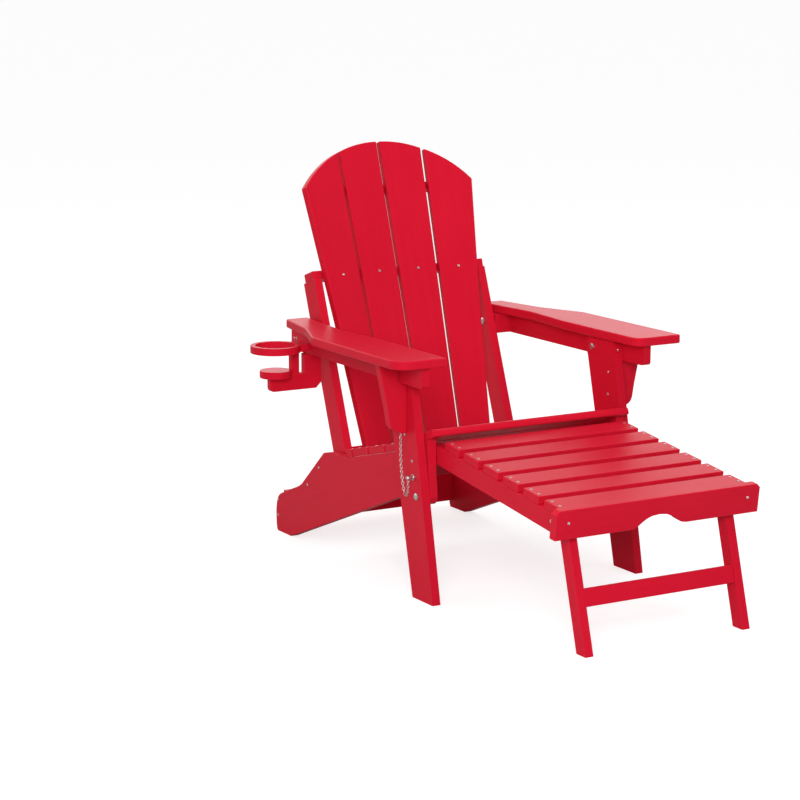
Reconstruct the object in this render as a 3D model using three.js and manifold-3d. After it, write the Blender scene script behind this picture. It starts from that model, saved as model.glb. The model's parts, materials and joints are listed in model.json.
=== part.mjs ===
// Folding adirondack chair with a pull-out ottoman and a cup holder, in plastic lumber.
// Millimetres, +Z up. The sitter faces -Y, and the sitter's right hand is on the -X side.
// Each board is a mesh of its own. The sizes below are counted from the middle of the seat's
// width, and at the end the chair is moved so that its box stands centred on the origin.
import * as THREE from 'three';
import { mergeVertices } from 'three/addons/utils/BufferGeometryUtils.js';
import Module from 'manifold-3d';

// ---------------------------------------------------------------- driving dimensions
const frameBoard = 20; // thickness of legs, stringers, posts, rails and arms
const slatBoard = 18; // thickness of seat, back and ottoman slats
const touch = 0.3; // gap left between boards that are screwed together
const slip = 2; // gap between boards that turn or slide past each other

const seatWidth = 516; // across the outer faces of the seat stringers
const armWidth = 121;
const armUnderside = 526; // height of the arms' lower faces
const armFront = -342;
const armRear = 306;

const backRecline = 18.5; // degrees from upright
const backLength = 754; // up the slats from the stringers to the top of the arch
const backFoot = [157.3, 230]; // front face of the slats at their lower end (y, z)
const backTopHalf = 230; // half width of the back at its upper corners
const backWaistHalf = 197; // the same halfway up
const backFootHalf = 170; // the same at the seat
const archRadius = 295;
const backGap = 8; // between the back slats

const foldPin = [-267, 230]; // leg turns on the stringer here
const armPin = [-150, armUnderside - 26]; // arm turns on the leg here
const backPin = [138, 238]; // back posts turn on the stringers here
const lockPin = [-256, 272]; // pull pin through the leg

const guideStart = [-264, 324]; // guide rod with the ottoman pulled out
const guideFall = 21.5; // degrees that the guide grooves fall towards the rear
const guideTravel = 460;
const ottomanDroop = 7.1; // degrees that the ottoman falls towards its front
const ottomanSlats = 6;
const ottomanSlatWidth = 58;
const ottomanGap = 20.4;
const ottomanFirst = 45; // from the guide rod to the first slat
const ottomanLegLean = 15.7; // degrees from upright

const seatSlope = 0.25; // fall of the seat towards the rear
const noseSlope = 0.4; // fall of its front two slats
const seatBreak = [-160, 329]; // where the two slopes meet
const seatPitch = 74.5;
const seatGap = 7;
const seatRear = 59.5; // rear edge of the last full slat
const seatEnd = 92; // rear edge of the narrow slat behind it
const seatNose = -297; // front edge of the seat

const boltRadius = 4;
const headRadius = 8;
const headHeight = 4;
const rodRadius = 6;
const boltFit = 0.4; // clearance round bolts and pins

// ---------------------------------------------------------------- positions across the chair
const stringerOut = seatWidth / 2;
const stringerIn = stringerOut - frameBoard;
const legIn = stringerOut + slip;
const legOut = legIn + frameBoard;
const railIn = legOut + touch;
const railOut = railIn + frameBoard;
const postOut = stringerIn - slip;
const postIn = postOut - frameBoard;
const armIn = legIn - 11;
const armOut = armIn + armWidth;
const spacer = 7; // collar between an ottoman rail and its leg
const ottomanLegOut = postIn - spacer;
const ottomanLegIn = ottomanLegOut - frameBoard;

const deg = THREE.MathUtils.degToRad;
const link = [armPin[0] - foldPin[0], armPin[1] - foldPin[1]];
const postPin = [backPin[0] + link[0], backPin[1] + link[1]]; // arm turns on the post here
const sides = [['right', -1], ['left', 1]];

// ---------------------------------------------------------------- materials and placing
const red = new THREE.MeshStandardMaterial({ color: 0xd4142c, roughness: 0.55, metalness: 0 });
const steel = new THREE.MeshStandardMaterial({ color: 0xc9c9c6, roughness: 0.3, metalness: 1 });
const chair = new THREE.Group();

function place(name, geometry, parent = chair, material = red) {
  const mesh = new THREE.Mesh(geometry, material);
  mesh.name = name;
  parent.add(mesh);
  return mesh;
}

// ---------------------------------------------------------------- shapes
const sideways = new THREE.Matrix4().makeBasis(
  new THREE.Vector3(0, 1, 0), new THREE.Vector3(0, 0, 1), new THREE.Vector3(1, 0, 0));
const facing = new THREE.Matrix4().makeBasis(
  new THREE.Vector3(1, 0, 0), new THREE.Vector3(0, 0, 1), new THREE.Vector3(0, -1, 0));

function extrude(shape, depth, curveSegments = 6) {
  return new THREE.ExtrudeGeometry(shape, { depth, bevelEnabled: false, curveSegments });
}

// A board standing fore and aft: its outline is in (y, z), its thickness between two x.
function sideBoard(shape, [x0, x1]) {
  return extrude(shape, x1 - x0).applyMatrix4(sideways).translate(x0, 0, 0);
}

// A board standing across the chair: its outline is in (x, z), from y0 back to y1.
function crossBoard(shape, y0, y1) {
  return extrude(shape, y1 - y0).applyMatrix4(facing).translate(0, y1, 0);
}

// A board lying flat: its outline is in (x, y), from z0 up to z1.
function flatBoard(shape, z0, z1, curveSegments) {
  return extrude(shape, z1 - z0, curveSegments).translate(0, 0, z0);
}

function span(sign, x0, x1) {
  return sign > 0 ? [x0, x1] : [-x1, -x0];
}

// An outline whose corners are rounded where a third number gives a radius.
function outline(points) {
  const shape = new THREE.Shape();
  const count = points.length;
  points.forEach(([a, b, radius = 0], i) => {
    const corner = new THREE.Vector2(a, b);
    const before = new THREE.Vector2(...points[(i + count - 1) % count]).sub(corner).normalize();
    const after = new THREE.Vector2(...points[(i + 1) % count]).sub(corner).normalize();
    const reach = radius && radius / Math.tan(Math.acos(before.dot(after)) / 2);
    const start = corner.clone().addScaledVector(before, reach);
    if (i === 0) shape.moveTo(start.x, start.y);
    else shape.lineTo(start.x, start.y);
    const end = corner.clone().addScaledVector(after, reach);
    if (radius) shape.quadraticCurveTo(corner.x, corner.y, end.x, end.y);
  });
  shape.closePath();
  return shape;
}

// The same outline, mirrored to the right-hand side when the sign is negative.
function handed(sign, points) {
  return outline(sign > 0 ? points : points.map(([x, ...rest]) => [-x, ...rest]).reverse());
}

function box(a0, a1, b0, b1, radius = 0) {
  return outline([[a0, b0, radius], [a1, b0, radius], [a1, b1, radius], [a0, b1, radius]]);
}

function bore(shape, [a, b], radius) {
  const hole = new THREE.Path();
  hole.absarc(a, b, radius, 0, 2 * Math.PI, true);
  shape.holes.push(hole);
  return shape;
}

// A turned piece on an axis along X. The profile is [radius, x] from end to end.
function turned(profile, [y, z] = [0, 0], segments = 16) {
  const points = profile.map(([radius, x]) => new THREE.Vector2(radius, x));
  return new THREE.LatheGeometry(points, segments).rotateZ(-Math.PI / 2).translate(0, y, z);
}

const manifold = await Module();
manifold.setup();

function solid(geometry) {
  const bare = geometry.clone();
  bare.deleteAttribute('normal');
  bare.deleteAttribute('uv');
  const welded = mergeVertices(bare, 1e-4);
  return new manifold.Manifold(new manifold.Mesh({
    numProp: 3,
    vertProperties: new Float32Array(welded.attributes.position.array),
    triVerts: new Uint32Array(welded.index.array),
  }));
}

function carve(geometry, ...cutters) {
  const cut = cutters.reduce((body, cutter) => body.subtract(solid(cutter)), solid(geometry));
  const mesh = cut.getMesh();
  const result = new THREE.BufferGeometry();
  result.setAttribute('position', new THREE.BufferAttribute(new Float32Array(mesh.vertProperties), 3));
  result.setIndex(new THREE.BufferAttribute(new Uint32Array(mesh.triVerts), 1));
  result.computeVertexNormals();
  return result;
}

// ---------------------------------------------------------------- seat surface
const slopeAt = (y) => (y < seatBreak[0] ? noseSlope : seatSlope);
const seatTop = (y) => seatBreak[1] + slopeAt(y) * (seatBreak[0] - y);

// Height of the bed under the slats, straight below a point of the seat's surface.
const seatBed = (y) => seatTop(y) - (slatBoard + touch) * Math.hypot(1, slopeAt(y));

// ---------------------------------------------------------------- seat stringers
const heel = { toe: 372, rear: 449, height: 47, top: 98 };
const slantLow = [314, 142];
const slantHigh = [201, seatTop(201)];
const stringerFront = seatNose + 17;
const lobe = 20; // radius of the stringer round the fold bolt
const grooveDepth = 7;
const blind = 5; // wood left outside the back bolt's hole

function stringerShape() {
  const shape = new THREE.Shape();
  shape.moveTo(heel.toe, 0);
  shape.lineTo(heel.rear - 8, 0);
  shape.quadraticCurveTo(heel.rear, 2, heel.rear, heel.height);
  shape.quadraticCurveTo(heel.rear - 2, heel.top - 8, heel.rear - 29, heel.top);
  shape.lineTo(354, 124);
  shape.quadraticCurveTo(330, 132, ...slantLow);
  shape.lineTo(...slantHigh);
  shape.lineTo(163, seatTop(163) - 1);
  shape.lineTo(seatEnd + 2, seatBed(seatEnd + 2));
  shape.lineTo(seatBreak[0], seatBed(seatBreak[0] - touch));
  shape.lineTo(stringerFront, seatBed(stringerFront));
  shape.lineTo(stringerFront, seatBed(stringerFront) - 65);
  shape.lineTo(foldPin[0] - lobe, foldPin[1] + 4);
  shape.absarc(...foldPin, lobe, Math.PI, Math.PI * 1.5, false);
  shape.lineTo(foldPin[0] + 100, foldPin[1] - lobe - 1);
  shape.closePath();
  bore(shape, foldPin, boltRadius + boltFit);
  return bore(shape, lockPin, boltRadius + boltFit);
}

// The guide rod's end runs in this groove in the inner face.
function groove(sign) {
  const half = rodRadius + boltFit;
  const slot = box(-half, guideTravel + half, -half, half, half * 0.9);
  const cutter = sideBoard(slot, span(sign, stringerIn - 1, stringerIn + grooveDepth));
  return cutter.rotateX(-deg(guideFall)).translate(0, ...guideStart);
}

for (const [side, sign] of sides) {
  const [x0, x1] = span(sign, stringerIn - 1, stringerOut - blind);
  const radius = boltRadius + boltFit;
  const socket = turned([[0, x0], [radius, x0], [radius, x1], [0, x1]], backPin);
  const board = sideBoard(stringerShape(), span(sign, stringerIn, stringerOut));
  place(`stringer_${side}`, carve(board, groove(sign), socket));
}

// ---------------------------------------------------------------- seat slats
// Each slat lies on the stringers and is flush with their outer faces.
const slatEdges = [[seatRear + seatGap, seatEnd]];
for (let rear = seatRear; rear - seatPitch > seatNose; rear -= seatPitch) {
  slatEdges.unshift([rear - seatPitch + seatGap, rear]);
}
slatEdges.unshift([seatNose, slatEdges[0][0] - seatGap]);

slatEdges.forEach(([front, rear], i) => {
  const middle = (front + rear) / 2;
  const slope = Math.atan(slopeAt(middle));
  const half = (rear - front) / 2 / Math.cos(slope);
  const nose = i === 0 ? 9 : 2;
  const section = outline([
    [-half, -slatBoard, nose * 0.6], [half, -slatBoard, 1.5], [half, 0, 2], [-half, 0, nose]]);
  const slat = place(`seat_slat_${i + 1}`, sideBoard(section, [-stringerOut, stringerOut]));
  slat.position.set(0, middle, seatTop(middle));
  slat.rotation.x = -slope;
});

// ---------------------------------------------------------------- boards between the stringers
const between = [-stringerIn + touch, stringerIn - touch];
place('rear_stretcher', sideBoard(box(heel.rear - 21, heel.rear - 1, 20, heel.top, 1.5), between));

const slant = [slantHigh[0] - slantLow[0], slantHigh[1] - slantLow[1]];
const rearPanel = place('rear_panel', sideBoard(
  box(4, Math.hypot(...slant) * 0.82, 6, 6 + frameBoard, 1.5), between));
rearPanel.position.set(0, ...slantLow);
rearPanel.rotation.x = Math.atan2(slant[1], slant[0]);

// ---------------------------------------------------------------- back
// The back's own frame: z up along the slats, y behind their front faces.
const back = new THREE.Group();
back.position.set(0, ...backFoot);
back.rotation.x = -deg(backRecline);
chair.add(back);

function intoBack([y, z]) {
  const local = new THREE.Vector2(y - backFoot[0], z - backFoot[1]);
  return local.rotateAround(new THREE.Vector2(), deg(backRecline)).toArray();
}

const innerTurn = deg(3.5); // each inner slat is turned towards the sitter's spine
const outerTurn = deg(10.5);
const facetEdge = 108; // half width at which the facets of the hollow back meet
const facetDrop = facetEdge * Math.tan(innerTurn);
const slatFoot = 6;
const archAt = (x) => backLength - archRadius + Math.sqrt(archRadius ** 2 - x ** 2);
const cornerHeight = archAt(backTopHalf);
const lerp = THREE.MathUtils.lerp;

// Half widths of the back and of its outer seams at a height up the slats.
function sideAt(height) {
  const waist = cornerHeight / 2;
  return height < waist
    ? lerp(backFootHalf, backWaistHalf, height / waist)
    : lerp(backWaistHalf, backTopHalf, Math.min(1, height / waist - 1));
}
const seamAt = (height) => lerp(backFootHalf * 0.55, backTopHalf * 0.508, height / backLength);

// Depth of the slats' front faces at a distance from the middle.
function hollow(x) {
  return x > facetEdge
    ? -facetDrop - (x - facetEdge) * Math.tan(outerTurn)
    : -x * Math.tan(innerTurn);
}

function backSlat(sign, turn, pivot, innerAt, outerAt) {
  const across = (x) => (x - pivot) / Math.cos(turn);
  const innerTop = innerAt(archAt(innerAt(backLength)));
  const outerTop = outerAt(archAt(outerAt(cornerHeight)));
  const waist = cornerHeight / 2;
  const points = [[across(innerAt(slatFoot)), slatFoot], [across(outerAt(slatFoot)), slatFoot],
    [across(outerAt(waist)), waist]];
  const steps = 8;
  for (let i = 0; i <= steps; i += 1) {
    const x = lerp(outerTop, innerTop, i / steps);
    points.push([across(x), archAt(x)]);
  }
  const geometry = crossBoard(handed(sign, points), 0, slatBoard);
  return geometry.rotateZ(-sign * turn).translate(sign * pivot, hollow(pivot), 0);
}

for (const [side, sign] of sides) {
  place(`back_slat_outer_${side}`, backSlat(
    sign, outerTurn, facetEdge, (height) => seamAt(height) + backGap / 2, sideAt), back);
  place(`back_slat_inner_${side}`, backSlat(
    sign, innerTurn, 0, () => backGap / 2, (height) => seamAt(height) - backGap / 2), back);
}

// A crossbar lies flat behind the slats, with a facet cut for each of them in its front edge.
function crossbar(name, height, half, depth) {
  const clear = slatBoard / Math.cos(outerTurn) + 1.6;
  const edge = Math.min(half - 1, sideAt(height) + 3);
  const front = [-edge, -facetEdge, 0, facetEdge, edge].map((x) => [x, hollow(Math.abs(x)) + clear]);
  const flank = hollow(edge) + clear;
  const shape = outline([[-half, flank], ...front, [half, flank],
    [half, depth - 9], [half - 9, depth], [9 - half, depth], [-half, depth - 9]]);
  place(name, flatBoard(shape, height - frameBoard / 2, height + frameBoard / 2), back);
}

const middleBar = 438; // height of the middle bar, which rests on the posts
crossbar('back_bar_top', cornerHeight - 3, backTopHalf - 27, 46);
crossbar('back_bar_middle', middleBar, postOut, 46);
crossbar('back_bar_bottom', 16, postIn - touch, 40);

// ---------------------------------------------------------------- posts
const postLine = { front: [140, 262], rear: [201, 262], lean: deg(20.7) };
const postEnd = 26; // radius of the post's lower end
const pinLobe = 14; // radius of the post in front of the back bolt

function postShape() {
  const top = middleBar - frameBoard / 2 - touch;
  const rise = Math.tan(postLine.lean - deg(backRecline));
  const front = intoBack(postLine.front);
  const rear = intoBack(postLine.rear);
  const pin = intoBack(backPin);
  const heelEnd = [rear[0] - postEnd - 1, pin[1] - 8];
  const shape = new THREE.Shape();
  shape.moveTo(front[0] + rise * (top - front[1]), top);
  shape.lineTo(...front);
  shape.absarc(...pin, pinLobe, deg(165), deg(245), false);
  shape.absarc(...heelEnd, postEnd, deg(270), deg(358), false);
  shape.lineTo(rear[0] + rise * (top - rear[1]), top);
  shape.closePath();
  bore(shape, pin, boltRadius + boltFit);
  return bore(shape, intoBack(postPin), boltRadius + boltFit);
}

for (const [side, sign] of sides) {
  place(`post_${side}`, sideBoard(postShape(), span(sign, postIn, postOut)), back);
}

// ---------------------------------------------------------------- front legs
const legFoot = [-337, -250]; // front and rear of the foot
const legFrontSlope = 0.2;
const legRearSlope = 0.246;
const legTop = armUnderside - touch;
const legCap = legTop - armPin[1]; // the leg's rear upper corner is round about the arm bolt

function legShape() {
  const shape = new THREE.Shape();
  shape.moveTo(legFoot[0], 0);
  shape.lineTo(legFoot[1], 0);
  shape.lineTo(legFoot[1] + legRearSlope * (armPin[1] - 22), armPin[1] - 22);
  shape.absarc(...armPin, legCap, deg(-10), deg(90), false);
  shape.lineTo(legFoot[0] + legFrontSlope * legTop, legTop);
  shape.closePath();
  for (const pin of [foldPin, lockPin, armPin]) bore(shape, pin, boltRadius + boltFit);
  return shape;
}

const railDepth = 47;
const railFoot = armUnderside - touch - railDepth;
const corbelFront = -225;
const corbelFoot = armUnderside - 162;

function corbelPoints() {
  const [root, reach, top] = [railIn, railOut + 24, armUnderside - 2 * touch];
  return [[root, corbelFoot], [root + 10, corbelFoot], [reach - 4, corbelFoot + 12, 25],
    [reach + 3, corbelFoot + 54, 60], [armOut - 20, top], [railOut + touch, top],
    [railOut + touch, railFoot - touch], [root, railFoot - touch]];
}

for (const [side, sign] of sides) {
  place(`front_leg_${side}`, sideBoard(legShape(), span(sign, legIn, legOut)));
  place(`corbel_${side}`, crossBoard(handed(sign, corbelPoints()), corbelFront, corbelFront + frameBoard));
}

// ---------------------------------------------------------------- arms
const armKink = 45; // where the outer edge turns in towards the rear
const armTail = armIn + 51; // outer corner at the rear
const railFront = armFront + 19;
const railRear = armRear - 28;
const blockFront = postPin[0] - 22;

// The outer edge curves in at the kink and out again; the inner edge is hollowed beside the back.
// At the front, both boards have their rounder corner towards the sitter's right.
const armPoints = (innerCorner, outerCorner) => [[armIn, armFront, innerCorner],
  [armOut, armFront, outerCorner], [armOut, armKink, 60], [armTail + 24, armKink + 118, 220],
  [armTail, armRear, 5], [armIn - 6, armRear, 4], [armIn + 14, 105, 200], [armIn, -50, 200]];

function railShape() {
  const shape = outline([[railFront, railFoot, 9], [railRear, railFoot, 9],
    [railRear, armUnderside - touch], [railFront, armUnderside - touch]]);
  bore(shape, armPin, boltRadius + boltFit);
  return bore(shape, postPin, boltRadius + boltFit);
}

const blockShape = () => bore(
  box(blockFront, railRear, railFoot, armUnderside - touch), postPin, boltRadius + boltFit);

for (const [side, sign] of sides) {
  const armEdge = sign < 0 ? armPoints(8, 44) : armPoints(28, 8);
  place(`arm_${side}`, flatBoard(handed(sign, armEdge), armUnderside, armUnderside + frameBoard));
  place(`arm_rail_${side}`, sideBoard(railShape(), span(sign, railIn, railOut)));
  place(`arm_block_${side}`, sideBoard(blockShape(), span(sign, stringerIn, legOut)));
}

// ---------------------------------------------------------------- cup holder, on the right arm
const cup = { x: -railOut - 76, y: 213, hole: 47, ring: 58, base: 37, board: 17 };
cup.ringFoot = armUnderside - 39;
cup.baseFoot = armUnderside - 98;

function ringShape() {
  const grip = 26; // half width of the tongue that meets the arm rail
  const swing = Math.asin(grip / cup.ring);
  const shape = new THREE.Shape();
  shape.absarc(cup.x, cup.y, cup.ring, swing, 2 * Math.PI - swing, false);
  shape.lineTo(-railOut - touch, cup.y - grip);
  shape.lineTo(-railOut - touch, cup.y + grip);
  shape.closePath();
  return bore(shape, [cup.x, cup.y], cup.hole);
}

function plateShape() {
  const web = cup.x + cup.base + 1; // the web stands just clear of the base disc
  const [slotOut, slotIn] = [-railOut - 18, -railOut - 5];
  const foot = cup.baseFoot - 33;
  const underRing = cup.ringFoot - touch;
  const underRail = railFoot - touch;
  const underBase = cup.baseFoot - touch;
  return outline([[cup.x - 18, foot, 12], [-legIn - 14, foot], [-legIn, foot + 14],
    [-legIn, underRail], [slotIn, underRail], [slotIn, underBase + 6], [slotOut, underBase + 6],
    [slotOut, underRing], [web, underRing], [web, underBase], [cup.x - 18, underBase]]);
}

place('cup_ring', flatBoard(ringShape(), cup.ringFoot, cup.ringFoot + cup.board, 20));
place('cup_plate', crossBoard(plateShape(), cup.y - cup.board / 2, cup.y + cup.board / 2));
const disc = new THREE.Shape();
disc.absarc(cup.x, cup.y, cup.base, 0, 2 * Math.PI, false);
place('cup_base', flatBoard(disc, cup.baseFoot, cup.baseFoot + cup.board, 20));

// ---------------------------------------------------------------- ottoman
// The ottoman's own frame: the guide rod is the origin, y runs back along the rails.
const ottoman = new THREE.Group();
ottoman.position.set(0, ...guideStart);
ottoman.rotation.x = deg(ottomanDroop);
chair.add(ottoman);

const ottomanRail = { top: 19, foot: -22 };
const ottomanPitch = ottomanSlatWidth + ottomanGap;
const ottomanFront = ottomanFirst + ottomanSlats * ottomanPitch - ottomanGap;
const legPivot = [-ottomanFront + 29, 1];

function ottomanRailShape() {
  const { top, foot } = ottomanRail;
  const shape = outline([[-ottomanFront, foot], [20, foot, 18], [20, top, 18], [-ottomanFront, top]]);
  bore(shape, [0, 0], rodRadius + boltFit);
  return bore(shape, legPivot, boltRadius + boltFit);
}

for (const [side, sign] of sides) {
  place(`ottoman_rail_${side}`, sideBoard(ottomanRailShape(), span(sign, postIn, postOut)), ottoman);
}

for (let i = 0; i < ottomanSlats; i += 1) {
  const rear = -ottomanFirst - i * ottomanPitch;
  const floor = ottomanRail.top + touch;
  const section = box(rear - ottomanSlatWidth, rear, floor, floor + slatBoard, 2);
  place(`ottoman_slat_${i + 1}`, sideBoard(section, [-postOut, postOut]), ottoman);
}

// The apron closes the front, and its ends cover the stringers' when the ottoman is pushed in.
function apronShape() {
  const [half, foot, top, grip, lift] = [stringerOut - 1, -23, 40, 72, 26];
  const shape = new THREE.Shape();
  shape.moveTo(-half, foot);
  shape.lineTo(-grip, foot);
  shape.bezierCurveTo(-grip * 0.6, foot, -grip * 0.6, foot + lift, 0, foot + lift);
  shape.bezierCurveTo(grip * 0.6, foot + lift, grip * 0.6, foot, grip, foot);
  shape.lineTo(half, foot);
  shape.lineTo(half, top - 8);
  shape.lineTo(half - 8, top);
  shape.lineTo(8 - half, top);
  shape.lineTo(-half, top - 8);
  shape.closePath();
  return shape;
}

place('ottoman_apron', crossBoard(
  apronShape(), -ottomanFront - touch - frameBoard, -ottomanFront - touch), ottoman);

// The rod joins both rails and runs in the stringers' grooves.
const rodHalf = stringerIn + grooveDepth - 1;
place('ottoman_guide_rod', turned(
  [[0, -rodHalf], [rodRadius, -rodHalf], [rodRadius, rodHalf], [0, rodHalf]]), ottoman, steel);

// ---------------------------------------------------------------- ottoman legs
// The legs' own frame: the pivot bolt is the origin, z runs up along the legs.
const ottomanLegs = new THREE.Group();
ottomanLegs.position.set(0, ...legPivot)
  .applyAxisAngle(new THREE.Vector3(1, 0, 0), deg(ottomanDroop))
  .add(ottoman.position);
ottomanLegs.rotation.x = -deg(ottomanLegLean);
chair.add(ottomanLegs);

function ottomanLegShape() {
  const half = 16;
  const drop = ottomanLegs.position.z / Math.cos(deg(ottomanLegLean));
  const bevel = half * Math.tan(deg(ottomanLegLean));
  const shape = new THREE.Shape();
  shape.moveTo(-half, -drop - bevel);
  shape.lineTo(half, -drop + bevel);
  shape.absarc(0, 0, half, 0, Math.PI, false);
  shape.closePath();
  return bore(shape, [0, 0], boltRadius + boltFit);
}

for (const [side, sign] of sides) {
  place(`ottoman_leg_${side}`, sideBoard(
    ottomanLegShape(), span(sign, ottomanLegIn, ottomanLegOut)), ottomanLegs);
}
const crossbarDrop = ottomanLegs.position.z * 0.68;
place('ottoman_crossbar', sideBoard(
  box(-14, 6, -crossbarDrop, 38 - crossbarDrop, 1.5),
  [touch - ottomanLegIn, ottomanLegIn - touch]), ottomanLegs);

// ---------------------------------------------------------------- bolts, pins and chains
// Each profile is for the left side, from the inner end outwards along +X.
function pair(name, profile, at, parent = chair) {
  place(`${name}_left`, turned(profile, at), parent, steel);
  const mirrored = profile.map(([radius, x]) => [radius, -x]).reverse();
  place(`${name}_right`, turned(mirrored, at), parent, steel);
}

// A dome head that stands on the face at x, on its outer or its inner side.
const outerHead = (x) => [[boltRadius, x], [headRadius, x], [headRadius, x + headHeight / 2],
  [headRadius * 0.6, x + headHeight], [0, x + headHeight]];
const innerHead = (x) => outerHead(-x).map(([radius, at]) => [radius, -at]).reverse();

pair('fold_bolt', [[0, stringerIn + 1], [boltRadius, stringerIn + 1], ...outerHead(legOut + touch)],
  foldPin);
pair('back_bolt', [...innerHead(postIn - touch),
  [boltRadius, stringerOut - blind - 1], [0, stringerOut - blind - 1]], backPin);
pair('arm_leg_bolt', [...innerHead(legIn - touch), [boltRadius, railOut - 1], [0, railOut - 1]],
  armPin);
pair('arm_post_bolt', [...innerHead(postIn - touch), [boltRadius, railOut - 1], [0, railOut - 1]],
  postPin);
pair('ottoman_leg_bolt', [...innerHead(ottomanLegIn - touch),
  [boltRadius, ottomanLegOut + touch], [headRadius, ottomanLegOut + touch],
  [headRadius, postIn - touch], [boltRadius, postIn - touch],
  [boltRadius, postOut - 0.5], [0, postOut - 0.5]], legPivot, ottoman);

const pinEnd = legOut + 19;
pair('lock_pin', [[0, legIn + 0.5], [boltRadius - 1, legIn + 0.5], [boltRadius, legIn + 1.5],
  [boltRadius, legOut + touch], [boltRadius + 3, legOut + touch], [boltRadius + 3, legOut + 4],
  [boltRadius + 1, legOut + 4], [boltRadius + 1, pinEnd - 3], [boltRadius - 0.5, pinEnd],
  [0, pinEnd]], lockPin);

// A chain hangs from a screw below the corbel and keeps the pin from being lost.
const chainRadius = 2;
const chainTop = [corbelFront + 16, corbelFoot - 7];

for (const [side, sign] of sides) {
  const curve = new THREE.CatmullRomCurve3([
    [6, ...chainTop], [7, chainTop[0] - 3, chainTop[1] - 60],
    [9, chainTop[0] - 14, lockPin[1] - 34], [12, lockPin[0] + 16, lockPin[1] - 43],
    [15, lockPin[0] + 2, lockPin[1] - 30], [16, lockPin[0], lockPin[1] - 8],
  ].map(([x, y, z]) => new THREE.Vector3(sign * (legOut + x), y, z)));
  const ring = new THREE.Shape();
  ring.absarc(0, 0, chainRadius, 0, 2 * Math.PI, false);
  place(`pin_chain_${side}`, new THREE.ExtrudeGeometry(ring, {
    steps: 32, curveSegments: 4, bevelEnabled: false, extrudePath: curve,
  }), chair, steel);
}

// The origin is on the ground, in the middle of the chair's bounding box.
const middle = new THREE.Box3().setFromObject(chair, true).getCenter(new THREE.Vector3());
chair.position.set(-middle.x, -middle.y, 0);

export default chair;
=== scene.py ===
"""Folding adirondack chair of red plastic lumber, with its cup holder and pull-out ottoman."""
import json
import math

import bmesh
import bpy
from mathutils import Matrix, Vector

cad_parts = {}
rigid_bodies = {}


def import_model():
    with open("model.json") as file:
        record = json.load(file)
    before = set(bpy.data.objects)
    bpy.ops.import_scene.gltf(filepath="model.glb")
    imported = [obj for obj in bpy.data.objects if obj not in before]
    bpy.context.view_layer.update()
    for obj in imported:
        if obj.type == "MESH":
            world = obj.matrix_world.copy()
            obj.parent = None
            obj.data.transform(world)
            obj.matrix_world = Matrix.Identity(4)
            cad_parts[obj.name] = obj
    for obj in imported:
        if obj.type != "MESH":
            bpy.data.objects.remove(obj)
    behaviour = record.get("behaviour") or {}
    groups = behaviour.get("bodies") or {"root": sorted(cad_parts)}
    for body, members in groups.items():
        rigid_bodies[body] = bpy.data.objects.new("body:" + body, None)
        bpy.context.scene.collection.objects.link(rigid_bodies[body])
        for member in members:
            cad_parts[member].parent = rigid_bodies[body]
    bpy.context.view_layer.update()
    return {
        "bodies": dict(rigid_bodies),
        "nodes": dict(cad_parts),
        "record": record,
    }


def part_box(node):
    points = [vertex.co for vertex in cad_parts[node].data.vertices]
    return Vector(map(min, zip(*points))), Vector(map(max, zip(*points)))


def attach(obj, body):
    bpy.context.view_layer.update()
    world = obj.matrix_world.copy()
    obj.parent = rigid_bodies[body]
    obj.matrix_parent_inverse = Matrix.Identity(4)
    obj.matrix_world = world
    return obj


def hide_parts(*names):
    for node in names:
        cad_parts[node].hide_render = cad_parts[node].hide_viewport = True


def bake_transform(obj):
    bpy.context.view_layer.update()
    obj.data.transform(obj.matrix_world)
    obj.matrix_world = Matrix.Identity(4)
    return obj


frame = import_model()
nodes = frame["nodes"]
body_of = {node: body for body, members in frame["record"]["behaviour"]["bodies"].items()
           for node in members}
SIDES = (("right", -1), ("left", 1))

# ---------------------------------------------------------------- camera, floor and light
# A long lens from the sitter's front right, a little above the arms. A white sweep runs out of
# sight, the air is bright behind the chair and dim in front of it, and two soft lights fill in.
camera_data = bpy.data.cameras.new("camera")
camera_data.lens = 106.5
camera_data.sensor_width = 36
camera_data.clip_end = 500
camera = bpy.data.objects.new("camera", camera_data)
camera.location = (-2.7967, -4.4133, 1.4084)
camera.rotation_euler = (math.radians(79.146), 0, math.radians(-30.068))
bpy.context.scene.collection.objects.link(camera)
bpy.context.scene.camera = camera

floor_mesh = bpy.data.meshes.new("floor")
floor_mesh.from_pydata([(-200, -200, 0), (200, -200, 0), (200, 200, 0), (-200, 200, 0)], [],
                       [(0, 1, 2, 3)])
floor = bpy.data.objects.new("floor", floor_mesh)
bpy.context.scene.collection.objects.link(floor)
paper = bpy.data.materials.new("floor_paper")
paper.use_nodes = True
sheet = paper.node_tree.nodes["Principled BSDF"]
sheet.inputs["Base Color"].default_value = (0.5, 0.5, 0.5, 1)
sheet.inputs["Specular IOR Level"].default_value = 0
sheet.inputs["Emission Color"].default_value = (1, 1, 1, 1)
sight = paper.node_tree.nodes.new("ShaderNodeLightPath")
glow = paper.node_tree.nodes.new("ShaderNodeMath")
glow.operation = "MULTIPLY"
glow.inputs[1].default_value = 0.72
paper.node_tree.links.new(sight.outputs["Is Camera Ray"], glow.inputs[0])
paper.node_tree.links.new(glow.outputs[0], sheet.inputs["Emission Strength"])
floor_mesh.materials.append(paper)

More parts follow.
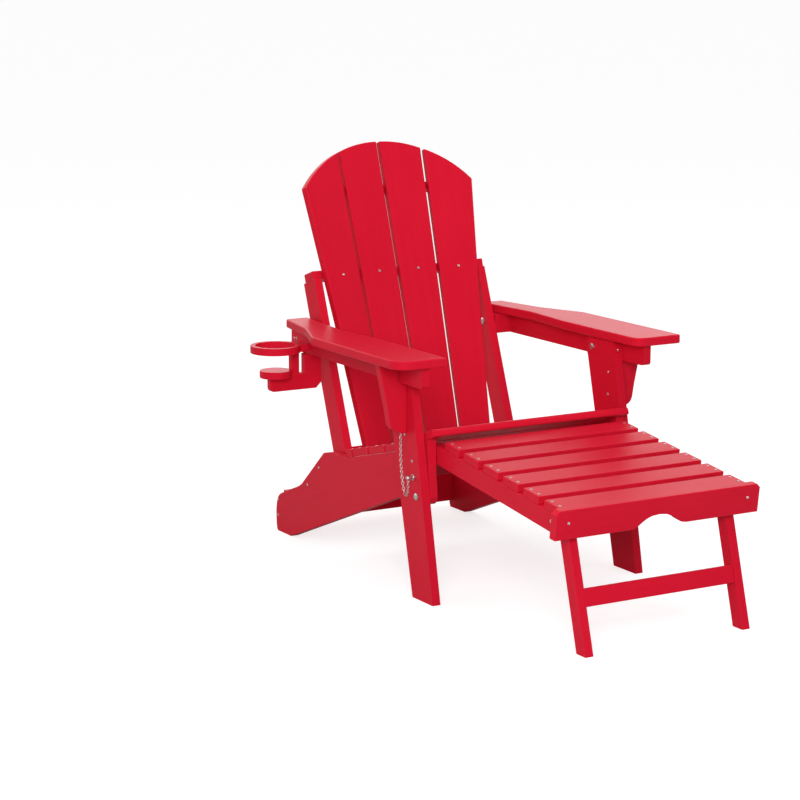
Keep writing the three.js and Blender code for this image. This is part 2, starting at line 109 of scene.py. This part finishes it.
world = bpy.data.worlds.new("studio")
world.use_nodes = True
sky = world.node_tree
sky.nodes["Background"].inputs["Color"].default_value = (1, 1, 1, 1)
heading = sky.nodes.new("ShaderNodeTexCoord")
parts = sky.nodes.new("ShaderNodeSeparateXYZ")
behind = sky.nodes.new("ShaderNodeMapRange")
for socket, value in (("From Min", 0.0), ("From Max", 0.5), ("To Min", 0.0), ("To Max", 1.3)):
    behind.inputs[socket].default_value = value
low = sky.nodes.new("ShaderNodeMapRange")
for socket, value in (("From Min", 0.35), ("From Max", 0.75), ("To Min", 1.0), ("To Max", 0.1)):
    low.inputs[socket].default_value = value
sweep = sky.nodes.new("ShaderNodeMath")
sweep.operation = "MULTIPLY"
total = sky.nodes.new("ShaderNodeMath")
total.inputs[1].default_value = 0.32
for source, target in ((heading.outputs["Generated"], parts.inputs["Vector"]),
                       (parts.outputs["Y"], behind.inputs["Value"]),
                       (parts.outputs["Z"], low.inputs["Value"]),
                       (behind.outputs["Result"], sweep.inputs[0]),
                       (low.outputs["Result"], sweep.inputs[1]),
                       (sweep.outputs[0], total.inputs[0]),
                       (total.outputs[0], sky.nodes["Background"].inputs["Strength"])):
    sky.links.new(source, target)
bpy.context.scene.world = world
bpy.context.scene.view_settings.view_transform = "Standard"


def area_light(name, place, aim, size, power):
    lamp = bpy.data.lights.new(name, "AREA")
    lamp.shape = "DISK"
    lamp.size = size
    lamp.energy = power
    holder = bpy.data.objects.new(name, lamp)
    holder.location = place
    holder.rotation_euler = (Vector(aim) - Vector(place)).to_track_quat("-Z", "Y").to_euler()
    bpy.context.scene.collection.objects.link(holder)


area_light("key", (0.6, -0.6, 4.2), (0, 0, 0.3), 2.6, 60)
area_light("fill", (-2.9, -4.2, 2.2), (0, 0, 0.4), 2.4, 190)

# ---------------------------------------------------------------- plastic lumber stock
# Every board is red plastic lumber, coloured right through, with a fine grain pressed along
# its length. The boards are sawn to shape and their edges are eased with a router.
EDGE_RADIUS = 0.0018
ARM_EDGE_RADIUS = 0.003
BROKEN_EDGE = 0.0004
SAME_POINT = 1e-6
FLAT_ANGLE = math.radians(1)
EDGE_ANGLE = math.radians(28)
SMOOTH_ANGLE = math.radians(40)


def link(tree, *pairs):
    for source, target in pairs:
        tree.links.new(source, target)


def lumber(name, base, pale):
    stock = bpy.data.materials.new(name)
    stock.use_nodes = True
    tree = stock.node_tree
    shader = tree.nodes["Principled BSDF"]
    grain = tree.nodes.new("ShaderNodeAttribute")
    grain.attribute_name = "grain"
    # Attribute that marks the eased edge faces, which carry a painted highlight
    edge_highlight = tree.nodes.new("ShaderNodeAttribute")
    edge_highlight.attribute_name = "edge_highlight"

    def streaks(along, across, detail):
        spread = tree.nodes.new("ShaderNodeMapping")
        spread.inputs["Scale"].default_value = (along, across, across)
        noise = tree.nodes.new("ShaderNodeTexNoise")
        noise.inputs["Scale"].default_value = 1
        noise.inputs["Detail"].default_value = detail
        noise.inputs["Roughness"].default_value = 0.6
        link(tree, (grain.outputs["Vector"], spread.inputs["Vector"]),
             (spread.outputs["Vector"], noise.inputs["Vector"]))
        return noise.outputs["Fac"]

    fine = streaks(14, 900, 4)
    broad = streaks(3, 90, 3)
    cloud = streaks(5, 7, 2)

    shade = tree.nodes.new("ShaderNodeMix")
    shade.data_type = "RGBA"
    shade.inputs[6].default_value = (*base, 1)
    shade.inputs[7].default_value = (*pale, 1)
    blend = tree.nodes.new("ShaderNodeMath")
    blend.operation = "MULTIPLY_ADD"
    blend.inputs[1].default_value = 0.5
    half = tree.nodes.new("ShaderNodeMath")
    half.operation = "MULTIPLY"
    half.inputs[1].default_value = 0.5
    # Eased edge faces are mixed a further 0.22 towards the pale colour: a painted highlight on the
    # rounded edges
    edge = tree.nodes.new("ShaderNodeMath")
    edge.operation = "MULTIPLY_ADD"
    edge.inputs[1].default_value = 0.22
    edge.use_clamp = True
    link(tree, (broad, blend.inputs[0]), (cloud, half.inputs[0]),
         (half.outputs[0], blend.inputs[2]),
         (edge_highlight.outputs["Fac"], edge.inputs[0]), (blend.outputs[0], edge.inputs[2]),
         (edge.outputs[0], shade.inputs["Factor"]), (shade.outputs[2], shader.inputs["Base Color"]))

    dull = tree.nodes.new("ShaderNodeMapRange")
    dull.inputs["To Min"].default_value = 0.27
    dull.inputs["To Max"].default_value = 0.45
    link(tree, (fine, dull.inputs["Value"]), (dull.outputs["Result"], shader.inputs["Roughness"]))

    relief = tree.nodes.new("ShaderNodeBump")
    relief.inputs["Strength"].default_value = 0.35
    relief.inputs["Distance"].default_value = 0.0004
    link(tree, (fine, relief.inputs["Height"]), (relief.outputs["Normal"], shader.inputs["Normal"]))
    shader.inputs["Specular IOR Level"].default_value = 0.18
    shader.inputs["Specular Tint"].default_value = (1, 0.12, 0.2, 1)
    return stock


red_lumber = lumber("red_lumber", (0.56, 0.005, 0.022), (0.68, 0.012, 0.034))


def eased_board(node, radius=EDGE_RADIUS):
    """The board of a CAD node with its sharp edges rounded over, riding where the node rides."""
    bm = bmesh.new()
    bm.from_mesh(nodes[node].data)
    bmesh.ops.remove_doubles(bm, verts=bm.verts, dist=SAME_POINT)
    bmesh.ops.dissolve_limit(bm, angle_limit=FLAT_ANGLE, verts=bm.verts, edges=bm.edges)
    bmesh.ops.recalc_face_normals(bm, faces=bm.faces)
    longest = max(bm.edges, key=lambda edge: edge.calc_length())
    along = (longest.verts[1].co - longest.verts[0].co).normalized()
    if along[max(range(3), key=lambda axis: abs(along[axis]))] < 0:
        along.negate()
    widest = max(bm.faces, key=lambda face: face.calc_area())
    thick = widest.normal.copy()
    across = thick.cross(along).normalized()
    # Faces made by the bevel are marked for the painted edge highlight in the material
    edge_highlight = bm.faces.layers.float.new("edge_highlight")
    sharp = [edge for edge in bm.edges if edge.calc_face_angle(0) > EDGE_ANGLE]
    eased = bmesh.ops.bevel(bm, geom=sharp, offset=radius, offset_type="OFFSET", segments=3,
                            profile=0.5, affect="EDGES", clamp_overlap=True)
    for face in eased["faces"]:
        face[edge_highlight] = 1.0
    grain = bm.verts.layers.float_vector.new("grain")
    shift = Vector((sum(map(ord, node)) * 0.173, len(node) * 0.71, ord(node[-1]) * 0.37))
    for vert in bm.verts:
        vert[grain] = Vector((vert.co.dot(along), vert.co.dot(across), vert.co.dot(thick))) + shift
    mesh = bpy.data.meshes.new(f"{node}_board")
    bm.to_mesh(mesh)
    bm.free()
    mesh.materials.append(red_lumber)
    for polygon in mesh.polygons:
        polygon.use_smooth = True
    mesh.set_sharp_from_angle(angle=SMOOTH_ANGLE)
    board = bpy.data.objects.new(f"{node}_board", mesh)
    bpy.context.scene.collection.objects.link(board)
    finish = board.modifiers.new("weighted_normals", "WEIGHTED_NORMAL")
    finish.keep_sharp = True
    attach(board, body_of[node])
    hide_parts(node)
    return board


# ---------------------------------------------------------------- seat frame
# Two stringers, each seat side and rear leg in one board, joined by a stretcher at the heels
# and a panel under the slanted rear edge. Screwed together from the outside.
for node in ("stringer_right", "stringer_left", "rear_stretcher", "rear_panel"):
    eased_board(node)

# ---------------------------------------------------------------- seat slats
# Six slats across the stringers, the front one with a bull nose. Screwed down from above.
SEAT_SLATS = sorted(node for node in nodes if node.startswith("seat_slat"))
for node in SEAT_SLATS:
    eased_board(node)

# ---------------------------------------------------------------- back
# Four tapered slats with an arched top, turned a little towards each other, on three bars.
# The middle bar rests on two posts that are hinged in the stringers. The top bar's front edge
# ends in a narrow land, so its edges are only broken.
for node in sorted(nodes):
    if node.startswith(("back_slat", "back_bar", "post_")):
        eased_board(node, BROKEN_EDGE if node == "back_bar_top" else EDGE_RADIUS)

# ---------------------------------------------------------------- front legs and corbels
# Wide boards that lean back, each with a curved corbel outside it to hold up the arm.
for node in ("front_leg_right", "front_leg_left", "corbel_right", "corbel_left"):
    eased_board(node)

# ---------------------------------------------------------------- arms
# Wide flat boards on a rail set on edge. A block at the rear carries the bolt into the post.
for side, _ in SIDES:
    eased_board(f"arm_{side}", ARM_EDGE_RADIUS)
    eased_board(f"arm_rail_{side}")
    eased_board(f"arm_block_{side}")

# ---------------------------------------------------------------- cup holder
# A ring board on the right arm's rail, a base disc below it and a plate that joins them.
for node in ("cup_ring", "cup_plate", "cup_base"):
    eased_board(node)

# ---------------------------------------------------------------- ottoman
# Six slats on two rails with a scalloped apron, on two folding legs joined by a crossbar.
for node in sorted(nodes):
    if node.startswith("ottoman_") and "bolt" not in node and "rod" not in node:
        eased_board(node)

# ---------------------------------------------------------------- bolts, guide rod and lock pins
# Stainless steel, turned and tumbled, with fine scratches round the axis. The CAD pieces have
# their real shape, so only the finish is added.


def stainless(name, tint, low, high):
    metal = bpy.data.materials.new(name)
    metal.use_nodes = True
    tree = metal.node_tree
    shader = tree.nodes["Principled BSDF"]
    shader.inputs["Metallic"].default_value = 1
    place = tree.nodes.new("ShaderNodeTexCoord")
    spread = tree.nodes.new("ShaderNodeMapping")
    spread.inputs["Scale"].default_value = (2200, 260, 260)
    scratch = tree.nodes.new("ShaderNodeTexNoise")
    scratch.inputs["Scale"].default_value = 1
    scratch.inputs["Detail"].default_value = 3
    colour = tree.nodes.new("ShaderNodeMix")
    colour.data_type = "RGBA"
    colour.inputs[6].default_value = (*[part * 0.82 for part in tint], 1)
    colour.inputs[7].default_value = (*tint, 1)
    dull = tree.nodes.new("ShaderNodeMapRange")
    dull.inputs["To Min"].default_value = low
    dull.inputs["To Max"].default_value = high
    relief = tree.nodes.new("ShaderNodeBump")
    relief.inputs["Strength"].default_value = 0.15
    relief.inputs["Distance"].default_value = 0.0002
    link(tree, (place.outputs["Object"], spread.inputs["Vector"]),
         (spread.outputs["Vector"], scratch.inputs["Vector"]),
         (scratch.outputs["Fac"], colour.inputs["Factor"]),
         (colour.outputs[2], shader.inputs["Base Color"]),
         (scratch.outputs["Fac"], dull.inputs["Value"]),
         (dull.outputs["Result"], shader.inputs["Roughness"]),
         (scratch.outputs["Fac"], relief.inputs["Height"]),
         (relief.outputs["Normal"], shader.inputs["Normal"]))
    return metal


bright_steel = stainless("bright_steel", (0.72, 0.71, 0.69), 0.22, 0.38)
HARDWARE = ("bolt", "guide_rod", "lock_pin")
for node in sorted(nodes):
    if any(word in node for word in HARDWARE):
        mesh = nodes[node].data
        mesh.materials.clear()
        mesh.materials.append(bright_steel)

# ---------------------------------------------------------------- wood screws
# Stainless pan-head screws with a six-lobed socket, sitting on the face of the board. One tree
# sets a head on every point, along the point's own normal.
HEAD_RADIUS = 0.0032
HEAD_HEIGHT = 0.0012
LOBES = 6


def screw_head():
    rings = [(1.0, 0.0), (1.0, 0.45), (0.86, 0.85), (0.6, 1.0), (0.42, 1.0)]  # reach and rise
    turns = 24
    bm = bmesh.new()
    loops = []
    for radius, rise in rings:
        loops.append([bm.verts.new((math.cos(step * math.tau / turns) * radius * HEAD_RADIUS,
                                    math.sin(step * math.tau / turns) * radius * HEAD_RADIUS,
                                    rise * HEAD_HEIGHT)) for step in range(turns)])
    for depth in (1.0, 0.2):
        socket = []
        for step in range(turns):
            angle = step * math.tau / turns
            reach = HEAD_RADIUS * (0.34 + 0.06 * math.cos(LOBES * angle))
            socket.append(bm.verts.new((math.cos(angle) * reach, math.sin(angle) * reach,
                                        depth * HEAD_HEIGHT)))
        loops.append(socket)
    for lower, upper in zip(loops, loops[1:]):
        for step in range(turns):
            following = (step + 1) % turns
            bm.faces.new((lower[step], lower[following], upper[following], upper[step]))
    bm.faces.new(reversed(loops[0]))
    bm.faces.new(loops[-1])
    bmesh.ops.recalc_face_normals(bm, faces=bm.faces)
    mesh = bpy.data.meshes.new("screw_head")
    bm.to_mesh(mesh)
    bm.free()
    return bpy.data.objects.new("screw_head", mesh)


def screw_tree():
    tree = bpy.data.node_groups.new("screws", "GeometryNodeTree")
    for name, kind, direction in (("Geometry", "NodeSocketGeometry", "INPUT"),
                                  ("Head", "NodeSocketObject", "INPUT"),
                                  ("Head scale", "NodeSocketFloat", "INPUT"),
                                  ("Finish", "NodeSocketMaterial", "INPUT"),
                                  ("Geometry", "NodeSocketGeometry", "OUTPUT")):
        tree.interface.new_socket(name, in_out=direction, socket_type=kind)
    start = tree.nodes.new("NodeGroupInput")
    end = tree.nodes.new("NodeGroupOutput")
    out = tree.nodes.new("GeometryNodeInputNamedAttribute")
    out.data_type = "FLOAT_VECTOR"
    out.inputs["Name"].default_value = "out"
    turn = tree.nodes.new("FunctionNodeAlignRotationToVector")
    head = tree.nodes.new("GeometryNodeObjectInfo")
    heads = tree.nodes.new("GeometryNodeInstanceOnPoints")
    real = tree.nodes.new("GeometryNodeRealizeInstances")
    paint = tree.nodes.new("GeometryNodeSetMaterial")
    link(tree, (start.outputs["Head"], head.inputs["Object"]),
         (out.outputs["Attribute"], turn.inputs["Vector"]),
         (start.outputs["Geometry"], heads.inputs["Points"]),
         (head.outputs["Geometry"], heads.inputs["Instance"]),
         (turn.outputs["Rotation"], heads.inputs["Rotation"]),
         (start.outputs["Head scale"], heads.inputs["Scale"]),
         (heads.outputs["Instances"], real.inputs["Geometry"]),
         (real.outputs["Geometry"], paint.inputs["Geometry"]),
         (start.outputs["Finish"], paint.inputs["Material"]),
         (paint.outputs["Geometry"], end.inputs["Geometry"]))
    return tree


def grown(name, mesh, tree, settings, body):
    """Runs a tree on a mesh and keeps the result as a plain piece that rides on the body."""
    piece = bpy.data.objects.new(name, mesh)
    bpy.context.scene.collection.objects.link(piece)
    grow = piece.modifiers.new("grow", "NODES")
    grow.node_group = tree
    sockets = {item.name: item.identifier for item in tree.interface.items_tree
               if item.item_type == "SOCKET" and item.in_out == "INPUT"}
    for key, value in settings.items():
        grow[sockets[key]] = value
    evaluated = piece.evaluated_get(bpy.context.evaluated_depsgraph_get())
    result = bpy.data.meshes.new_from_object(evaluated)
    piece.modifiers.remove(grow)
    piece.data = result
    piece.name = name
    if body:
        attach(piece, body)
    return piece


head_object = screw_head()
screws_on_faces = screw_tree()
screw_points = {body: [] for body in frame["bodies"]}


def board_face(node, towards):
    """Centre, normal and extent of the faces of a node that look in a direction."""
    mesh = nodes[node].data
    towards = Vector(towards)
    seen = [face for face in mesh.polygons if face.normal.dot(towards) > 0.7]
    normal = sum((face.normal * face.area for face in seen), Vector()).normalized()
    corners = [mesh.vertices[i].co for face in seen for i in face.vertices]
    low = Vector([min(corner[axis] for corner in corners) for axis in range(3)])
    high = Vector([max(corner[axis] for corner in corners) for axis in range(3)])
    return (low + high) / 2, normal, high - low


def add_screw(node, place, normal):
    screw_points[body_of[node]].append((Vector(place), Vector(normal)))


def screws_through_slat(node, inset):
    centre, normal, extent = board_face(node, (0, 0, 1))
    fore = normal.cross(Vector((1, 0, 0))).normalized()
    reach = Vector((0, extent[1], extent[2])).length * 0.25
    for _, sign in SIDES:
        for step in ((-1, 1) if reach > 0.01 else (0,)):
            place = centre + fore * reach * step
            place.x = centre.x + sign * (extent[0] / 2 - inset)
            add_screw(node, place, normal)


half_board = (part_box("stringer_left")[1][0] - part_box("stringer_left")[0][0]) / 2
for node in sorted(nodes):
    if node.startswith(("seat_slat", "ottoman_slat")):
        screws_through_slat(node, half_board)

# Stringers: two screws into each end of the panel, which slants, and of the stretcher.
for panel, spots, slant in (("rear_panel", (0.22, 0.8), True),
                            ("rear_stretcher", (0.25, 0.75), False)):
    low, high = (Vector(corner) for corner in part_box(panel))
    for side, sign in SIDES:
        face_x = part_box(f"stringer_{side}")[0 if sign < 0 else 1][0]
        for spot in spots:
            y = high.y + (low.y - high.y) * (spot if slant else 0.5)
            place = (face_x, y, low.z + (high.z - low.z) * spot)
            add_screw(f"stringer_{side}", place, (sign, 0, 0))

# Back slats: one screw through each slat into the middle bar.
BACK_RECLINE = math.radians(18.5)
slat_out = Vector((0, -math.cos(BACK_RECLINE), math.sin(BACK_RECLINE)))
(_, _, bar_low), (_, _, bar_high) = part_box("back_bar_middle")
level = bar_low + (bar_high - bar_low) * 0.68
for node in sorted(nodes):
    if not node.startswith("back_slat"):
        continue
    mesh = nodes[node].data
    front = [face for face in mesh.polygons if face.normal.dot(slat_out) > 0.9]
    normal = sum((face.normal * face.area for face in front), Vector()).normalized()
    origin = mesh.vertices[front[0].vertices[0]].co
    sides = []
    for edge in mesh.edges:
        a, b = (mesh.vertices[i].co for i in edge.vertices)
        if max(abs((a - origin).dot(normal)), abs((b - origin).dot(normal))) > 1e-4:
            continue
        if (a.z - level) * (b.z - level) < 0:
            sides.append(a.lerp(b, (level - a.z) / (b.z - a.z)))
    sides.sort(key=lambda spot: spot.x)
    add_screw(node, (sides[0] + sides[-1]) / 2, normal)

# Apron: one screw into each rail's end.
centre, normal, _ = board_face("ottoman_apron", (0, -1, 0))
upward = Vector((1, 0, 0)).cross(normal).normalized()
for side, _ in SIDES:
    low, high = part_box(f"ottoman_rail_{side}")
    place = centre.copy()
    place.x = (low[0] + high[0]) / 2
    add_screw("ottoman_apron", place - upward * 0.004, normal)

# Legs: three screws from inside into the corbel and the rail, and two in the outer face, of
# which the upper one holds the chain.
for side, sign in SIDES:
    leg_low, leg_high = (Vector(corner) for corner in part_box(f"front_leg_{side}"))
    rail_low = Vector(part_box(f"arm_rail_{side}")[0])
    corbel_low, corbel_high = (Vector(corner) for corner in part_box(f"corbel_{side}"))
    inner = leg_high.x if sign < 0 else leg_low.x
    outer = leg_low.x if sign < 0 else leg_high.x
    middle = (corbel_low.y + corbel_high.y) / 2
    for height in (0.3, 0.75):
        spot = (inner, middle, corbel_low.z + (rail_low.z - corbel_low.z) * height)
        add_screw(f"front_leg_{side}", spot, (-sign, 0, 0))
    spot = (inner, corbel_low.y - 0.026, rail_low.z + 0.027)
    add_screw(f"front_leg_{side}", spot, (-sign, 0, 0))
    for back, drop in ((0, 0.004), (0.033, 0.058)):
        spot = (outer, middle - back, corbel_low.z - drop)
        add_screw(f"front_leg_{side}", spot, (sign, 0, 0))

# Cup holder: a screw through the arm rail beside the ring's tongue.
rail_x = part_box("arm_rail_right")[0][0]
(_, ring_low, _), (_, ring_high, ring_top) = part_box("cup_ring")
spot = (rail_x, (ring_low + ring_high) / 2 + 0.05, ring_top + 0.003)
add_screw("arm_rail_right", spot, (-1, 0, 0))

for body, points in sorted(screw_points.items()):
    if not points:
        continue
    mesh = bpy.data.meshes.new(f"screws_{body}")
    mesh.from_pydata([place for place, _ in points], [], [])
    out = mesh.attributes.new("out", "FLOAT_VECTOR", "POINT")
    for i, (_, normal) in enumerate(points):
        out.data[i].vector = normal
    grown(f"screws_{body}", mesh, screws_on_faces,
          {"Head": head_object, "Head scale": 1.0, "Finish": bright_steel}, body)

# ---------------------------------------------------------------- pin chains
# A light steel chain hangs from a screw below the corbel and ends in the lock pin's ring, so
# that a pulled pin stays with the leg. Round links, each turned a quarter from the last.
LINK_LENGTH = 0.0085
LINK_WIDTH = 0.0052
LINK_WIRE = 0.0006
CHAIN_STEPS = 40
LOWEST_AT = 0.62  # share of the way from the screw to the pin where the chain hangs lowest


def chain_tree():
    tree = bpy.data.node_groups.new("chain", "GeometryNodeTree")
    for name, kind, direction in (("Geometry", "NodeSocketGeometry", "INPUT"),
                                  ("Link length", "NodeSocketFloat", "INPUT"),
                                  ("Link width", "NodeSocketFloat", "INPUT"),
                                  ("Wire radius", "NodeSocketFloat", "INPUT"),
                                  ("Finish", "NodeSocketMaterial", "INPUT"),
                                  ("Geometry", "NodeSocketGeometry", "OUTPUT")):
        tree.interface.new_socket(name, in_out=direction, socket_type=kind)
    new = tree.nodes.new
    start, end = new("NodeGroupInput"), new("NodeGroupOutput")
    path = new("GeometryNodeMeshToCurve")
    pitch = new("ShaderNodeMath")
    pitch.operation = "MULTIPLY"
    pitch.inputs[1].default_value = 0.72
    spaced = new("GeometryNodeResampleCurve")
    spaced.mode = "LENGTH"
    align = new("FunctionNodeAlignRotationToVector")
    align.axis = "X"
    index = new("GeometryNodeInputIndex")
    quarter = new("ShaderNodeMath")
    quarter.operation = "MULTIPLY"
    quarter.inputs[1].default_value = math.pi / 2
    twist = new("FunctionNodeAxisAngleToRotation")
    twist.inputs["Axis"].default_value = (1, 0, 0)
    turned = new("FunctionNodeRotateRotation")
    turned.rotation_space = "LOCAL"
    ring = new("GeometryNodeCurvePrimitiveCircle")
    ring.inputs["Resolution"].default_value = 20
    ring.inputs["Radius"].default_value = 0.5
    size = new("ShaderNodeCombineXYZ")
    size.inputs["Z"].default_value = 1
    shaped = new("GeometryNodeTransform")
    wire = new("GeometryNodeCurvePrimitiveCircle")
    wire.inputs["Resolution"].default_value = 8
    solid = new("GeometryNodeCurveToMesh")
    links = new("GeometryNodeInstanceOnPoints")
    points = new("GeometryNodeCurveToPoints")
    points.mode = "EVALUATED"
    real = new("GeometryNodeRealizeInstances")
    paint = new("GeometryNodeSetMaterial")
    link(tree, (start.outputs["Geometry"], path.inputs["Mesh"]),
         (path.outputs["Curve"], spaced.inputs["Curve"]),
         (start.outputs["Link length"], pitch.inputs[0]),
         (pitch.outputs[0], spaced.inputs["Length"]),
         (spaced.outputs["Curve"], points.inputs["Curve"]),
         (points.outputs["Tangent"], align.inputs["Vector"]),
         (index.outputs["Index"], quarter.inputs[0]),
         (quarter.outputs[0], twist.inputs["Angle"]),
         (align.outputs["Rotation"], turned.inputs["Rotation"]),
         (twist.outputs["Rotation"], turned.inputs["Rotate By"]),
         (start.outputs["Link length"], size.inputs["X"]),
         (start.outputs["Link width"], size.inputs["Y"]),
         (ring.outputs["Curve"], shaped.inputs["Geometry"]),
         (size.outputs["Vector"], shaped.inputs["Scale"]),
         (start.outputs["Wire radius"], wire.inputs["Radius"]),
         (shaped.outputs["Geometry"], solid.inputs["Curve"]),
         (wire.outputs["Curve"], solid.inputs["Profile Curve"]),
         (points.outputs["Points"], links.inputs["Points"]),
         (solid.outputs["Mesh"], links.inputs["Instance"]),
         (turned.outputs["Rotation"], links.inputs["Rotation"]),
         (links.outputs["Instances"], real.inputs["Geometry"]),
         (real.outputs["Geometry"], paint.inputs["Geometry"]),
         (start.outputs["Finish"], paint.inputs["Material"]),
         (paint.outputs["Geometry"], end.inputs["Geometry"]))
    return tree


links_on_path = chain_tree()
for side, sign in SIDES:
    low, high = (Vector(corner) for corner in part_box(f"pin_chain_{side}"))
    pin_low, pin_high = (Vector(corner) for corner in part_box(f"lock_pin_{side}"))
    pin = (pin_low + pin_high) / 2
    face = low.x if sign > 0 else high.x
    outward = [face + sign * reach for reach in (0.002, 0.004, 0.008, 0.011)]
    top = Vector((outward[0], high.y - 0.002, high.z))
    dip = Vector((outward[2], (top.y + pin.y) / 2, low.z + 0.002))
    ring_at = Vector((outward[3], pin.y, pin.z - 0.006))
    route = []
    for step in range(CHAIN_STEPS + 1):
        share = step / CHAIN_STEPS
        y = top.y + (ring_at.y - top.y) * (0.5 - 0.5 * math.cos(math.pi * share))
        if share < LOWEST_AT:
            fall = share / LOWEST_AT
            z = top.z + (dip.z - top.z) * math.sin(fall * math.pi / 2)
        else:
            rise = (share - LOWEST_AT) / (1 - LOWEST_AT)
            z = dip.z + (ring_at.z - dip.z) * (1 - math.cos(rise * math.pi / 2))
        x = outward[0] + (outward[3] - outward[0]) * share
        route.append((x, y, z))
    mesh = bpy.data.meshes.new(f"chain_{side}")
    mesh.from_pydata(route, [(i, i + 1) for i in range(len(route) - 1)], [])
    chain = grown(f"chain_{side}", mesh, links_on_path,
                  {"Link length": LINK_LENGTH, "Link width": LINK_WIDTH,
                   "Wire radius": LINK_WIRE, "Finish": bright_steel}, None)
    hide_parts(f"pin_chain_{side}")
    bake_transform(chain)

bpy.data.objects.remove(head_object)
